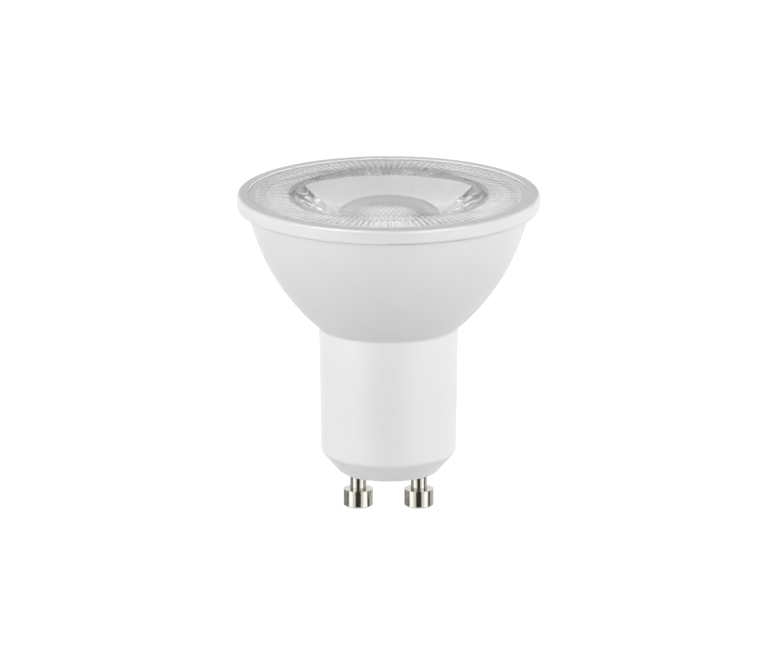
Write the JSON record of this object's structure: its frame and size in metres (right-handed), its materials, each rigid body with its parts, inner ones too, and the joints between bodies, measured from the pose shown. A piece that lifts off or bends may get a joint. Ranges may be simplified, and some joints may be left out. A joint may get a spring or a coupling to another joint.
{
  "type": "gu10 spotlight bulb",
  "caption": "White bowl-shaped spotlight bulb with a clear fluted lens, a narrow neck and mushroom-headed twist-lock contact pins, with its LED board and driver inside.",
  "frame": {"origin": "on the lamp's axis, level with the ends of the contact pins", "axes": "+Z along the lamp's axis towards the lens, X through both contact pins"},
  "size_m": [0.0498, 0.0498, 0.0533],
  "materials": {
    "housing_white": "satin moulded plastic, white",
    "lens_clear": "polished clear polycarbonate",
    "sink_aluminium": "pressed, bare",
    "board_white": "white solder mask on a metal core",
    "led_ivory": "moulded, ivory",
    "phosphor_yellow": "silicone fill with phosphor",
    "screw_steel": "zinc plated",
    "board_green": "green solder mask on glass fibre",
    "lead_tinned": "tinned copper wire",
    "can_dark": "dark sleeve on an aluminium can",
    "ferrite": "sintered ferrite",
    "copper": "enamelled copper wire",
    "film_yellow": "moulded box",
    "resistor_green": "lacquered",
    "chip_black": "moulded epoxy",
    "pin_nickel": "bright nickel plate on turned brass",
    "wire_white": "silicone insulation",
    "wire_red": "silicone insulation",
    "wire_black": "silicone insulation"
  },
  "bodies": {
    "root": {"housing": "housing_white", "lens": "lens_clear", "heat_sink": "sink_aluminium", "led_board": "board_white", "led_packages": "led_ivory", "led_phosphors": "phosphor_yellow", "board_screws": "screw_steel", "driver_board": "board_green", "component_leads": "lead_tinned", "smoothing_capacitor": "can_dark", "inductor_core": "ferrite", "inductor_winding": "copper", "film_capacitor": "film_yellow", "fuse_resistor": "resistor_green", "bridge_rectifier": "chip_black", "driver_chip": "chip_black", "freewheel_diode": "chip_black", "chip_resistors": "chip_black", "left_contact_pin": "pin_nickel", "right_contact_pin": "pin_nickel", "left_pin_wire": "wire_white", "right_pin_wire": "wire_white", "positive_led_wire": "wire_red", "negative_led_wire": "wire_black"}
  },
  "joints": []
}
